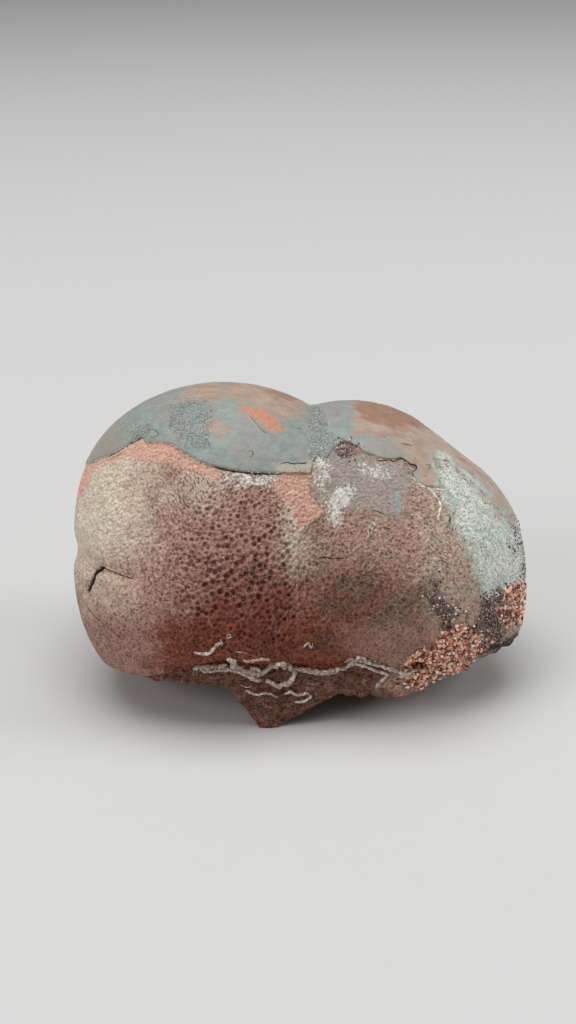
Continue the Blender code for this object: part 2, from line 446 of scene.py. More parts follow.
def crowded(place, gap, home):
    """Whether a pit that is sown already lies within the gap."""
    for dx in (-1, 0, 1):
        for dy in (-1, 0, 1):
            for dz in (-1, 0, 1):
                for other in taken.get((home[0] + dx, home[1] + dy, home[2] + dz), ()):
                    d = base[other] - place
                    if d[0] * d[0] + d[1] * d[1] + d[2] * d[2] < gap * gap:
                        return True
    return False


for n, i in enumerate(deepest + order):
    gap = DEEPEST_GAP if n < len(deepest) else spacing[i] * (0.44 + 0.58 * dice.random())
    home = tuple(int(c // BIN_SIZE) for c in base[i])
    if not crowded(base[i], gap, home):
        taken.setdefault(home, []).append(i)
        middles.append(i)
pit_finder = kdtree.KDTree(len(middles))
for n, i in enumerate(middles):
    pit_finder.insert(Vector(base[i]), n)
pit_finder.balance()
vigour = np.array([dice.random() for i in middles]) ** 1.5
vigour[:len(deepest)] = 1.0
first = np.full(len(base), 9.0)
second = np.full(len(base), 9.0)
strength = np.zeros(len(base))
for i in np.flatnonzero(crust > 0.0):
    (c0, n0, d0), (c1, n1, d1) = pit_finder.find_n(Vector(base[i]), 2)
    first[i] = d0
    second[i] = d1
    strength[i] = vigour[n0]
pit_depth = 0.34 - 0.22 * ramp(off_middle, 40.0, 125.0)
pit = crust * (1.0 - ramp(first / spacing, 0.10, 0.40)) * (0.25 + 0.75 * strength ** 1.3)
ridge = crust * (1.0 - ramp(second - first, 0.05, 0.30)) * ramp(second, 0.3, 0.6)
push = -pit_depth * pit + 0.35 * pit_depth * ridge

# the skin stands proud of the crust, and undulates a little
SKIN_THICKNESS = 0.26
blur = ramp(into, 2.0, 8.0)
on_skin = ramp(skin_px + 9.0 * blur * rough(base, 2.4, 51.0), -0.4 - 3.0 * blur, 0.4 + 3.0 * blur)
push += SKIN_THICKNESS * on_skin
push += 0.05 * rough(base, 3.5) * (1.0 - broken) + 0.03 * rough(base, 1.2, 3.0) * on_skin

# open cracks, and a groove under the skin's ledge painted dark as its shadow: (line, half width in px, depth
# in mm, how dark)
CRACKS_AND_LEDGE_SHADOW = [
    ([(104, 567.5), (100, 568.6), (95.3, 571), (92.6, 575), (90, 583), (85, 594.6)], 2.0, 1.1, 1.0),
    # the groove under the skin's ledge: its darkness is painted shadow
    ([(214, 467), (233, 471.3), (248, 473.6), (268, 474.6), (283, 474.4)], 1.4, 0.22, 0.55),
]
crack_and_ledge_shadow = np.zeros(len(base))
for line, half_width, deep, dark in CRACKS_AND_LEDGE_SHADOW:
    away, along = from_line(plain_xy + wander * 0.12, line)
    taper = np.minimum(ramp(along, -0.02, 0.12), 1.0 - ramp(along, 0.8, 1.02))
    here = np.exp(-(away / half_width) ** 2) * (0.3 + 0.7 * taper) * front
    push -= deep * here
    crack_and_ledge_shadow = np.maximum(crack_and_ledge_shadow, dark * here)

# the suture between the lobes is a low light ridge
SUTURE = [(326, 511), (312, 521), (300, 532), (297, 542), (298, 590), (298, 640)]
away, along = from_line(plain_xy + wander * 0.2, SUTURE)
suture = np.exp(-(away / 1.9) ** 2) * front * (1.0 - 0.8 * ramp(along, 0.55, 1.0)) * (1 - on_skin)
push += 0.16 * suture

# splinters, chips and ledges on the breaks
splinter = np.zeros(len(base))
for i in np.flatnonzero(broken > 0.01):
    v = Vector(base[i] / (2.6, 1.1, 2.2))
    splinter[i] = noise.ridged_multi_fractal(v, 0.9, 2.2, 5, 0.9, 2.0) * 0.5 - 0.55
above_table = ramp(height, 0.1, 1.6)
chip = rough(base, 1.5, 21.0)
ledge = 1.5 * np.abs(rough(base, 4.0, 61.0)) + 0.5 * np.abs(rough(base, 2.2, 67.0))
push += (0.75 * splinter + 0.38 * chip) * broken * above_table
push -= ledge * back * above_table

placed = lean_back(base + normal * push[:, None])
placed[:, 2] = np.maximum(placed[:, 2], 0.0)
placed[height < 0.03, 2] = 0.0
core = Vector(lean_back(CORE[None, :])[0] / 1000.0)


def stone_mesh(name, points, faces):
    """A mesh of the stone's points in mm, with its faces turned outwards."""
    made = bpy.data.meshes.new(name)
    made.from_pydata((points / 1000.0).tolist(), [], faces.tolist())
    made.update()
    first_face = made.polygons[0]
    if (first_face.center - core).dot(first_face.normal) < 0.0:
        made.flip_normals()
    made.update()
    return made


def mark(made, name, values):
    layer = made.attributes.new(name, "FLOAT", "POINT")
    layer.data.foreach_set("value", np.ascontiguousarray(values, dtype=np.float32))


mesh = stone_mesh("kidney_stone", placed, quads)
for face in mesh.polygons:
    face.use_smooth = True

# Markings drawn on the face: the skin's rust, the bare salmon patches under its edge, the white bloom,
# the teal band, the pale cheek, the dusky and rusty parts of the crust, and where crystals sit.
RUST_PATCHES = [
    [(345, 396), (352, 414), (349, 437), (375, 440), (390, 445), (402, 451), (407, 460), (416, 466),
     (416, 480), (424, 487), (442, 489), (436, 470), (432, 458), (447, 460), (458, 471), (473, 483),
     (486, 495), (498, 511), (520, 530), (600, 500), (520, 380)],
    [(236, 413), (242, 407), (251, 405), (262, 408), (268, 412), (279, 423), (281, 431), (274, 436),
     (265, 433), (256, 426), (253, 421), (245, 418)],
    [(222, 396), (228, 380), (262, 376), (292, 384), (316, 400), (309, 412), (292, 418), (285, 424),
     (272, 414), (250, 402), (238, 404)],
    [(176, 402), (190, 384), (222, 380), (222, 398), (203, 406)],
    [(205, 424), (214, 420), (228, 424), (230, 430), (222, 436), (210, 433)],
]
ORANGE_PATCH = RUST_PATCHES[1]
RUDDY_CROWN = [(330, 370), (346, 398), (362, 418), (386, 430), (412, 430), (440, 424), (474, 446), (506, 490),
               (600, 500), (520, 360)]
RUDDY_SEAM = [(264, 376), (262, 392), (284, 404), (304, 410), (318, 400), (300, 380)]
SALMON = [[(76, 478), (86, 466), (107, 458), (125, 449), (142, 441), (163, 443), (184, 453),
           (218, 468), (222, 478), (214, 478), (196, 473), (176, 466), (150, 459), (125, 458),
           (101, 466), (92, 475), (86, 487), (82, 500), (76, 500), (77, 486)],
          [(277, 474), (310, 474), (309, 486), (314, 500), (322, 512), (304, 524), (297, 528),
           (291, 510), (281, 500), (274, 487)]]
BLOOM = [([(219, 471), (240, 474), (280, 475), (282, 486), (266, 490), (240, 488), (226, 485)], 1.0),
         ([(310, 448), (325, 444), (332, 462), (327, 484), (320, 500), (312, 486)], 0.9),
         ([(322, 500), (332, 486), (350, 484), (360, 494), (350, 504), (341, 512), (343, 526), (332, 530),
           (324, 514)], 1.0),
         ([(354, 460), (392, 461), (398, 476), (380, 482), (360, 474)], 0.85),
         ([(360, 520), (380, 520), (376, 536), (362, 534)], 0.6),
         ([(408, 478), (424, 482), (436, 498), (430, 506), (416, 494)], 0.6)]
TEAL_BAND = [(434, 459), (447, 461), (458, 471), (473, 483), (486, 495), (498, 511), (506, 522),
             (520, 530), (540, 545), (530, 592), (505, 590), (492, 596), (478, 575), (470, 545),
             (455, 520), (446, 500), (440, 475)]
PALE_UNDER_SKIN = [(274, 466), (284, 463), (308, 464), (314, 458), (318, 470), (310, 478), (276, 478)]
PALE_ON_TEAL = [(426, 436), (446, 446), (462, 466), (456, 484), (440, 476), (432, 456)]
WORN_PATCH = [(318, 456), (333, 446), (363, 452), (405, 458), (415, 480), (402, 520), (378, 512),
              (350, 508), (325, 508), (314, 500), (314, 470)]
BLUE_OVAL = [(392, 492), (396, 489), (400, 496), (402, 508), (399, 514), (394, 508)]
BEAD_OUTLINE = [(376, 690), (384, 676), (398, 670), (416, 672), (430, 676), (424, 692), (402, 700)]
SPECKLED = [[(166, 405), (190, 398), (212, 404), (216, 428), (212, 458), (196, 456), (178, 446), (168, 430)],
            [(306, 406), (328, 404), (336, 440), (330, 474), (312, 478), (304, 440)],
            [(124, 428), (150, 420), (160, 436), (136, 446)]]
BLACK_RIM_LINE = [(462, 661), (475, 654), (490, 648), (504, 644), (516, 638)]
GRAINS = [([(402, 684), (407, 664), (416, 651), (429, 643), (440, 632), (454, 626), (474, 629), (486, 640),
            (478, 655), (460, 667), (438, 677), (420, 686)], 1.0, 1.0),
          ([(511, 588), (519, 584), (528, 592), (527, 606), (520, 620), (508, 626), (498, 622),
            (496, 606), (504, 600)], 0.62, 1.6)]
DARK_GRAINS = [([(428, 582), (435, 577), (440, 596), (452, 602), (460, 618), (454, 632), (444, 640),
                 (440, 624), (428, 604)], 0.8),
               ([(489, 590), (507, 590), (508, 602), (498, 606), (500, 622), (506, 628), (498, 640),
                 (480, 640), (466, 634), (478, 618), (486, 604)], 1.0),
               ([(336, 446), (346, 443), (357, 449), (359, 454), (350, 456), (338, 455)], 1.0),
               ([(512, 524), (522, 530), (532, 552), (536, 592), (526, 600), (522, 572), (516, 546)], 0.6)]
# darker places in the crust, partly painted shade: middle, radii (all in px) and how dark
DARK_AND_SHADED_PATCHES = [(250, 600, 66, 52, 0.9), (356, 598, 60, 42, 1.0), (316, 642, 100, 26, 0.7), (362, 568, 32, 24, 0.55),
         (190, 642, 60, 24, 0.6), (240, 545, 50, 45, 0.35), (408, 604, 30, 34, 0.7)]


def widest(masks):
    return np.max(list(masks), axis=0)


def blot(x, y, rx, ry):
    """A soft round mark about a picture point."""
    return np.exp(-((px - x) / rx) ** 2 - ((py - y) / ry) ** 2)


def stripe(x, rx):
    """A soft upright stripe about a picture column."""
    return np.exp(-((px - x) / rx) ** 2)


rust = widest(soft(o, 11.0, wander) for o in RUST_PATCHES)
orange = soft(ORANGE_PATCH, 8.0, wander) * front
ruddy = np.maximum(soft(RUDDY_CROWN, 12.0, wander * 1.4), 0.8 * soft(RUDDY_SEAM, 9.0, wander)) * on_skin
edge_pale = np.maximum(0.4 * soft(PALE_ON_TEAL, 7.0, wander), soft(PALE_UNDER_SKIN, 4.0, wander * 0.4))
edge_pale = edge_pale * front
buff_left = (1.0 - ramp(px + wx * 2.0, 96.0, 150.0)) * front
speckle = widest(soft(o, 8.0, wander) for o in SPECKLED) * front
salmon = widest(soft(o, 8.0, wander * 0.7) for o in SALMON) * front
bloom = widest(soft(o, 9.0, wander) * much for o, much in BLOOM) * front
damage = soft(WORN_PATCH, 16.0, wander) * (1.0 - on_skin)
blue_oval = soft(BLUE_OVAL, 2.5) * front
bead = soft(BEAD_OUTLINE, 5.0, wander) * front
away, along = from_line(plain_xy + wander * 0.4, BLACK_RIM_LINE)
black_rim = (1.0 - ramp(away, 2.0, 5.5)) * front

# the band's streaks run down the shoulder, along it and across it
teal = soft(TEAL_BAND, 17.0, wander * 1.5) * (1.0 - ramp(into, 6.0, 14.0))
down_band = (px - 440.0) * 0.62 + (py - 460.0) * 0.785
off_band = (px - 440.0) * 0.785 - (py - 460.0) * 0.62
streaks = rough(np.column_stack([down_band / 16.0, off_band / 4.5, into * 0.1]), 1.0, 71.0)
streaks += 0.6 * rough(np.column_stack([down_band / 7.0, off_band / 2.4, into * 0.1]), 1.0, 73.0)

# the pale cheek: partly the crust's own tan, partly painted sheen where the light from the upper left falls,
# fading darker towards the bottom; paler too at the brow and along the suture
tan = 1.0 - ramp(px + wx * 3.0, 88.0, 215.0)
tan *= (1.0 - 0.48 * ramp(py, 505.0, 590.0)) * (1.0 - 0.6 * ramp(py, 596.0, 650.0))
brow = 0.62 * ramp(px, 160.0, 195.0) * (1.0 - ramp(px, 205.0, 262.0)) * (1.0 - ramp(py, 478.0, 545.0))
tan = widest([tan, brow, 0.55 * blot(168.0, 496.0, 26.0, 26.0),
              0.85 * stripe(296.0, 17.0) * (1.0 - ramp(py, 540.0, 620.0))])
# redder and darker towards the bottom of the left lobe: partly the crust's own red-brown, partly painted warm
# bounce light and painted shade
reddish_and_bounce_light = ramp(py + wy * 4.0, 560.0, 650.0)
reddish_and_bounce_light *= ramp(px + wx * 5.0, 108.0, 196.0) * (1.0 - 0.7 * ramp(px, 300.0, 400.0))
mauve = widest([ramp(py + wy * 3.0, 588.0, 640.0) * (1.0 - ramp(px, 120.0, 170.0)),
                blot(392.0, 644.0, 52.0, 15.0),
                0.8 * stripe(76.0, 9.0) * ramp(py, 575.0, 600.0)])
dark_and_shaded = widest(much * blot(x, y, rx, ry) ** 1.1 for x, y, rx, ry, much in DARK_AND_SHADED_PATCHES)
dusk = ramp(px, 290.0, 320.0) * front
grey_right = ramp(px + wx * 3.0, 395.0, 450.0) * (1.0 - 0.6 * ramp(py, 600.0, 660.0))
pitted = crust * ramp(px, 112.0, 200.0) * (1.0 - ramp(px, 292.0, 306.0)) * (1.0 - 0.6 * salmon)

# crystals sit on the open face only, clear of the table
outer = ramp(-normal[:, 2], -0.15, 0.2) * ramp(height, 0.6, 1.6)
grain = widest(soft(o, 6.0, wander * ragged_by) * much for o, much, ragged_by in GRAINS) * front * outer
dark_grain = widest(soft(o, 9.0, wander * 1.6) * much for o, much in DARK_GRAINS)
dark_grain = np.maximum(dark_grain, 0.55 * soft(GRAINS[1][0], 6.0, wander)) * front * outer

for name, values in (
        ("skin", on_skin * (1.0 - broken)), ("rust", rust), ("orange", orange), ("ruddy", ruddy),
        ("edge_pale", edge_pale), ("buff_left", buff_left), ("speckle", speckle), ("salmon", salmon),
        ("bloom", bloom), ("damage", damage), ("blue_oval", blue_oval), ("bead", bead),
        ("black_rim", black_rim), ("teal", teal), ("streaks", streaks), ("tan", tan), ("reddish_and_bounce_light", reddish_and_bounce_light),
        ("mauve", mauve), ("dark_and_shaded", dark_and_shaded), ("dusk", dusk), ("grey", grey_right), ("pitted", pitted),
        ("grain", grain), ("dark_grain", dark_grain), ("broken", broken), ("back", back), ("crack_and_ledge_shadow", crack_and_ledge_shadow),
        ("suture", suture), ("to_pit", first / spacing), ("to_ridge", second - first), ("vigour", strength)):
    mark(mesh, name, values)
layer = mesh.uv_layers.new(name="OFBake")
layer.data.foreach_set("uv", np.ascontiguousarray(corners.reshape(-1, 2), dtype=np.float32).ravel())


def tone(r, g, b):
    """A colour as it is read off a screen, for a shader socket."""
    return tuple(c / 12.92 if c <= 0.04045 else ((c + 0.055) / 1.055) ** 2.4
                 for c in (r / 255.0, g / 255.0, b / 255.0)) + (1.0,)


def node(grown_in, kind, feeds, **settings):
    """A node with its settings, and what feeds its sockets: another node's socket or a plain value."""
    made = grown_in.nodes.new(kind)
    for setting, value in settings.items():
        setattr(made, setting, value)
    for socket, value in feeds.items():
        if isinstance(value, bpy.types.NodeSocket):
            grown_in.links.new(value, made.inputs[socket])
        else:
            made.inputs[socket].default_value = value
    return made


def start_finish(name, roughness, gloss):
    """A new finish: its material, nodes and shader, and places on the piece in mm."""
    finish = bpy.data.materials.new(name)
    finish.use_nodes = True
    nodes = finish.node_tree
    body = nodes.nodes["Principled BSDF"]
    body.inputs["Roughness"].default_value = roughness
    body.inputs["Specular IOR Level"].default_value = gloss
    coords = node(nodes, "ShaderNodeTexCoord", {})
    in_mm = node(nodes, "ShaderNodeVectorMath", {0: coords.outputs["Object"], "Scale": 1000.0},
                 operation="SCALE")
    return finish, nodes, body, in_mm.outputs[0]


def sums(operation, a, b=0.0, c=0.0):
    return node(tree, "ShaderNodeMath", {0: a, 1: b, 2: c}, operation=operation).outputs[0]


def times(a, b):
    return sums("MULTIPLY", a, b)


def most(a, b):
    return sums("MAXIMUM", a, b)


def plus(a, much, b):
    """a times much, plus b."""
    return sums("MULTIPLY_ADD", a, much, b)


def shaken(value, by, much):
    """A value shaken up and down by a noise."""
    return plus(sums("SUBTRACT", by, 0.5), much, value)


def thread(by, width):
    """Fine threads where a noise crosses its middle."""
    return between(sums("ABSOLUTE", sums("SUBTRACT", by, 0.5)), width, 0.0)


def over(mask, under, top):
    return node(tree, "ShaderNodeMix", {0: mask, 6: under, 7: top}, data_type="RGBA").outputs[2]


def between(value, low, high, to_low=0.0, to_high=1.0):
    ends = {"Value": value, "From Min": low, "From Max": high, "To Min": to_low, "To Max": to_high}
    return node(tree, "ShaderNodeMapRange", ends, interpolation_type="SMOOTHSTEP").outputs[0]


def marked(name):
    return node(tree, "ShaderNodeAttribute", {}, attribute_name=name).outputs["Fac"]


def stretched(x, y, z):
    return node(tree, "ShaderNodeVectorMath", {0: in_mm, 1: (x, y, z)}, operation="MULTIPLY").outputs[0]


def mottle(size, detail=3.0, harsh=0.55, place=None, warp=0.0):
    return node(tree, "ShaderNodeTexNoise", {"Vector": place or in_mm, "Scale": 1.0 / size, "Detail": detail,
                                             "Roughness": harsh, "Distortion": warp}).outputs["Fac"]


def cells(size, feature="F1"):
    """Wavering cells of a size in mm."""
    return node(tree, "ShaderNodeTexVoronoi", {"Vector": wavering, "Scale": 1.0 / size, "Randomness": 1.0},
                feature=feature)


def by_cell(cell, channel=0):
    """A random number that is the same all over a cell."""
    return node(tree, "ShaderNodeSeparateColor", {0: cell.outputs["Color"]}).outputs[channel]


def press_in(relief):
    """Feed a height in mm to the finish's relief."""
    bump = node(tree, "ShaderNodeBump", {"Distance": 0.001, "Height": relief})
    tree.links.new(bump.outputs["Normal"], shader.inputs["Normal"])


crust_finish, tree, shader, in_mm = start_finish("hematite crust", 0.5, 0.24)

# places that waver, so that no pit is a neat circle
shove = node(tree, "ShaderNodeTexNoise", {"Vector": in_mm, "Scale": 1.7, "Detail": 3.0})
wavering = node(tree, "ShaderNodeVectorMath", {0: shove.outputs["Color"], 1: (0.55, 0.55, 0.55), 2: in_mm},
                operation="MULTIPLY_ADD").outputs[0]
grit = mottle(0.30, 2.0, 0.6)
fine = mottle(0.45, 4.0, 0.6)
middling = mottle(1.3, 4.0, 0.6)
broad = mottle(5.0, 3.0, 0.5)

# the big pits, from their distances kept on the mesh, roughened
pit_size = plus(marked("vigour"), 0.85, 0.46)
from_pit = sums("DIVIDE", shaken(marked("to_pit"), fine, 0.16), pit_size)
big_pit = times(between(from_pit, 0.40, 0.16), between(marked("vigour"), 0.0, 0.8, 0.55, 0.92))
big_pit = times(big_pit, marked("pitted"))
pit_rim = between(sums("ABSOLUTE", sums("SUBTRACT", from_pit, 0.46)), 0.10, 0.02)
pit_rim = times(pit_rim, between(marked("vigour"), 0.1, 0.7, 0.2, 1.0))
pit_rim = times(pit_rim, marked("pitted"))
net = times(between(shaken(marked("to_ridge"), fine, 0.35), 0.34, 0.04), marked("pitted"))

# small pits over the whole crust, some deep, some hardly there
small = cells(0.70)
small_pit = times(between(small.outputs["Distance"], 0.50, 0.24),
                  between(by_cell(small), 0.1, 0.75, 0.40, 1.0))
small_net = between(cells(0.70, "DISTANCE_TO_EDGE").outputs["Distance"], 0.12, 0.02)
tiny = cells(0.42)
tiny_pit = times(between(tiny.outputs["Distance"], 0.46, 0.20), between(by_cell(tiny), 0.28, 0.52))


def ragged(name, low, high, coarse=0.6, small_scale=0.4):
    """A mark kept on the mesh, its edge broken up by two sizes of noise."""
    return between(shaken(shaken(marked(name), middling, coarse), fine, small_scale), low, high)


# the crust's colours: maroon; tan on the cheek, partly its own and partly painted sheen; greyer to the right;
# rust-red and dusky low down, partly painted warm bounce light and painted shade
pale_cheek_and_sheen_here = ragged("tan", 0.05, 0.95, 0.5, 0.5)
reddish_and_bounce_light_here = ragged("reddish_and_bounce_light", 0.1, 0.9, 0.5, 0.4)
dusk_here = marked("dusk")
grey_here = ragged("grey", 0.1, 0.9, 0.5, 0.3)
dark_and_shaded_here = ragged("dark_and_shaded", 0.05, 0.9, 0.6, 0.3)
mauve_here = ragged("mauve", 0.1, 0.9, 0.4, 0.3)
olive_or_rose = between(mottle(3.4, 5.0, 0.62), 0.40, 0.60)
light = over(pale_cheek_and_sheen_here, tone(190, 146, 131), tone(236, 220, 198))
light = over(times(dusk_here, 0.9), light, over(olive_or_rose, tone(172, 148, 126), tone(190, 148, 134)))
light = over(grey_here, light, over(olive_or_rose, tone(194, 178, 158), tone(204, 174, 158)))
light = over(reddish_and_bounce_light_here, light, tone(156, 82, 62))
dark_and_shaded_tone = over(dusk_here, tone(144, 70, 52), over(olive_or_rose, tone(104, 78, 56), tone(126, 72, 58)))
light = over(times(dark_and_shaded_here, 0.85), light, dark_and_shaded_tone)
light = over(mauve_here, light, tone(172, 128, 116))
dark = over(pale_cheek_and_sheen_here, tone(94, 38, 30), tone(122, 96, 76))
dark = over(times(dusk_here, 0.9), dark, tone(62, 40, 34))
dark = over(grey_here, dark, tone(84, 60, 50))
dark = over(reddish_and_bounce_light_here, dark, tone(74, 14, 3))
dark = over(times(dark_and_shaded_here, 0.7), dark, over(dusk_here, tone(58, 14, 8), tone(40, 20, 14)))
dark = over(mauve_here, dark, tone(104, 72, 64))

# worm-like wrinkles, dark flecks and small creases between the pits
worms = mottle(1.05, 3.0, 0.5, wavering, 1.2)
wrinkle = between(sums("ABSOLUTE", sums("SUBTRACT", worms, 0.5)), 0.035, 0.008)
wrinkle = times(wrinkle, between(mottle(0.95, 2.0, 0.5), 0.46, 0.56))
fleck = times(between(grit, 0.56, 0.66), plus(pale_cheek_and_sheen_here, -0.7, 0.75))
pebbles = cells(0.58)
crease = between(cells(0.58, "DISTANCE_TO_EDGE").outputs["Distance"], 0.09, 0.0)
crease = times(crease, between(mottle(0.8, 2.0, 0.6), 0.42, 0.60))
quiet = most(pale_cheek_and_sheen_here, times(dusk_here, 0.35))
hollow = most(big_pit, times(small_pit, between(quiet, 0.0, 1.0, 0.85, 0.30)))
hollow = most(hollow, times(tiny_pit, between(quiet, 0.0, 1.0, 0.9, 0.30)))
foam = times(between(small.outputs["Distance"], 0.62, 0.40),
             most(times(reddish_and_bounce_light_here, 0.85), times(dark_and_shaded_here, 0.45)))
hollow = most(hollow, times(foam, between(fine, 0.36, 0.56, 1.0, 0.55)))
# the pits, wrinkles and creases take the crust's dark tones: partly its own dark maroon, partly painted shade
# in the hollows
shaded = hollow
for mask, much, much_if_quiet in ((wrinkle, 0.9, 0.45), (crease, 0.7, 0.45),
                                  (between(fine, 0.50, 0.32, 0.0, 0.42), 1.0, 0.5), (fleck, 0.8, 0.3)):
    shaded = most(shaded, times(mask, between(quiet, 0.0, 1.0, much, much_if_quiet)))
surface = over(shaded, light, dark)
# pale pit rims and ridges between the pits: painted highlight where they catch the light
ridge_highlight = most(times(net, 0.50), times(small_net, 0.52))
ridge_highlight = most(times(ridge_highlight, between(grit, 0.36, 0.6)), times(pit_rim, 0.62))
ridge_highlight = times(ridge_highlight, plus(dark_and_shaded_here, -0.45, 1.0))
ridge_highlight_colour = over(reddish_and_bounce_light_here, over(pale_cheek_and_sheen_here, tone(208, 174, 158), tone(228, 216, 198)), tone(170, 106, 82))
surface = over(ridge_highlight, surface, ridge_highlight_colour)
surface = over(times(marked("suture"), between(fine, 0.40, 0.6, 0.0, 0.7)), surface, tone(196, 164, 142))

# bare salmon patches under the skin's edge, and a worn grey patch with white bloom on the right lobe
bare = over(between(fine, 0.4, 0.65), tone(239, 187, 167), tone(221, 164, 146))
surface = over(times(ragged("salmon", 0.25, 0.75, 0.6, 0.7), plus(hollow, -0.6, 0.92)), surface, bare)
worn = over(between(middling, 0.40, 0.62), tone(164, 166, 160), tone(172, 154, 144))
surface = over(times(ragged("damage", 0.2, 0.9, 0.8, 0.6), 0.8), surface, worn)
bloom_here = ragged("bloom", 0.62, 0.95, 1.0, 2.2)
surface = over(times(bloom_here, 0.88), surface, tone(242, 238, 228))
surface = over(times(ragged("blue_oval", 0.2, 1.0, 0.5, 0.5), 0.7), surface, tone(160, 168, 166))

# the smooth outer skin: blue-grey, rusted to peach and orange over the crown
streak = mottle(1.5, 4.0, 0.6, stretched(0.5, 1.0, 1.0))
rust_here = between(shaken(marked("rust"), streak, 1.6), 0.2, 0.95)
ruddy_here = between(shaken(marked("ruddy"), streak, 1.2), 0.2, 0.9)
orange_here = between(shaken(shaken(marked("orange"), streak, 1.4), fine, 0.7), 0.35, 0.85)
skin = over(between(middling, 0.35, 0.65), tone(152, 161, 155), tone(136, 146, 141))
skin = over(between(broad, 0.42, 0.62, 0.0, 0.7), skin, tone(156, 150, 143))
skin = over(times(rust_here, 0.85), skin,
            over(between(streak, 0.28, 0.72), tone(190, 166, 148), tone(164, 134, 116)))
skin = over(times(ruddy_here, 0.82), skin,
            over(between(middling, 0.34, 0.66), tone(161, 122, 101), tone(146, 109, 89)))
skin = over(times(ragged("buff_left", 0.1, 0.9, 1.0, 0.6), 0.6), skin, tone(160, 146, 132))
skin = over(times(orange_here, 0.85), skin,
            over(between(fine, 0.4, 0.62), tone(204, 142, 114), tone(190, 128, 102)))
spot = cells(0.75)
spots = times(between(spot.outputs["Distance"], 0.26, 0.12), between(by_cell(spot, 1), 0.72, 0.8))
skin = over(times(spots, 0.45), skin, tone(92, 86, 84))
skin = over(times(ragged("speckle", 0.5, 1.0, 1.0, 1.4), 0.6), skin,
            over(between(grit, 0.42, 0.6), tone(70, 80, 77), tone(156, 162, 156)))
# pale specks in the skin: painted glints
skin = over(between(grit, 0.68, 0.78, 0.0, 0.5), skin, tone(206, 210, 204))
skin = over(times(marked("edge_pale"), between(fine, 0.3, 0.6, 0.3, 0.8)), skin, tone(196, 186, 170))
skin_here = between(marked("skin"), 0.35, 0.65)
surface = over(skin_here, surface, skin)

# teal-white crystalline band down the right shoulder
teal_edge = shaken(plus(marked("streaks"), 0.30, marked("teal")), middling, 0.9)
teal_here = times(between(shaken(teal_edge, fine, 1.9), 0.10, 0.72), between(marked("teal"), 0.03, 0.30))
teal_colour = over(between(plus(marked("streaks"), 0.22, fine), 0.38, 0.62),
                   tone(252, 252, 243), tone(190, 206, 198))
teal_colour = over(times(tiny_pit, 0.35), teal_colour, tone(96, 104, 100))
teal_colour = over(between(plus(marked("streaks"), -0.10, grit), 0.60, 0.72, 0.0, 0.8),
                   teal_colour, tone(84, 84, 80))
surface = over(times(teal_here, 0.92), surface, teal_colour)

# loose granular ground under the crystals
rubble = over(between(grit, 0.4, 0.6), tone(92, 48, 38), tone(150, 98, 80))
surface = over(between(plus(fine, 0.4, marked("grain")), 0.5, 0.8), surface, rubble)
cinder = over(between(grit, 0.4, 0.62), tone(70, 48, 44), tone(158, 130, 120))
surface = over(times(between(plus(fine, 0.4, marked("dark_grain")), 0.5, 0.8), 0.8), surface, cinder)

# broken rock: dark crevices and pale crinkles, partly painted shade and painted highlight, with silvery
# threads that are painted glints
splints = mottle(0.5, 5.0, 0.7, stretched(0.55, 1.3, 0.9), 0.5)
rock = over(between(splints, 0.38, 0.62), tone(48, 20, 14), tone(148, 90, 72))
rock = over(between(middling, 0.52, 0.72, 0.0, 0.6), rock, tone(96, 44, 34))
glint = thread(mottle(1.3, 5.0, 0.62, stretched(0.6, 1.5, 1.1), 1.4), 0.042)
glint = most(glint, times(thread(mottle(0.6, 4.0, 0.6, stretched(1.3, 0.8, 1.0), 1.0), 0.036), 0.6))
glint = times(glint, between(mottle(2.0, 2.0, 0.5), 0.34, 0.58, 0.25, 1.0))
rock = over(times(glint, 0.75), rock, tone(212, 172, 154))


# inside, the lobes are fibres that fan out from their middles, in bands: the broken back shows them
def fanned(middle):
    """Fibres that fan out from a lobe's middle, and the distance from it."""
    off = node(tree, "ShaderNodeVectorMath", {0: in_mm, 1: middle}, operation="SUBTRACT").outputs[0]
    way = node(tree, "ShaderNodeVectorMath", {0: off}, operation="NORMALIZE").outputs[0]
    far = node(tree, "ShaderNodeVectorMath", {0: off}, operation="LENGTH").outputs["Value"]
    return mottle(0.06, 3.0, 0.6, way), far


def left_or_right(on_left, on_right):
    return sums("ADD", times(on_left, sums("SUBTRACT", 1.0, on_right_side)), times(on_right, on_right_side))


fibres_left, far_left = fanned((-12.0, 15.0, 2.0))
fibres_right, far_right = fanned((12.0, 15.0, 2.0))
to_the_right = node(tree, "ShaderNodeSeparateXYZ", {0: in_mm}).outputs[0]
on_right_side = between(shaken(to_the_right, broad, 6.0), 0.5, 1.5)
fibres = left_or_right(fibres_left, fibres_right)
bands = sums("SINE", times(shaken(left_or_right(far_left, far_right), broad, 2.0), 2.3))
fan = over(between(fibres, 0.36, 0.62), tone(66, 38, 32), tone(176, 142, 130))
fan = over(between(bands, 0.2, 0.9, 0.0, 0.45), fan, tone(116, 58, 44))
rock = over(times(marked("back"), between(middling, 0.30, 0.46)), rock, fan)
rock = over(times(marked("bead"), between(fine, 0.35, 0.6)), rock, tone(222, 174, 154))
rock_here = between(shaken(marked("broken"), fine, 0.5), 0.35, 0.6)
surface = over(rock_here, surface, rock)
surface = over(times(marked("black_rim"), between(fine, 0.3, 0.55, 0.5, 1.0)), surface, tone(48, 40, 40))
# dark inside the open cracks, and painted shadow in the groove under the skin's ledge
surface = over(between(marked("crack_and_ledge_shadow"), 0.25, 0.6), surface, tone(46, 32, 26))
tree.links.new(surface, shader.inputs["Base Color"])

roughness = shaken(between(skin_here, 0.0, 1.0, 0.58, 0.44), fine, 0.25)
roughness = plus(hollow, times(sums("SUBTRACT", 1.0, skin_here), -0.14), roughness)
tree.links.new(roughness, shader.inputs["Roughness"])

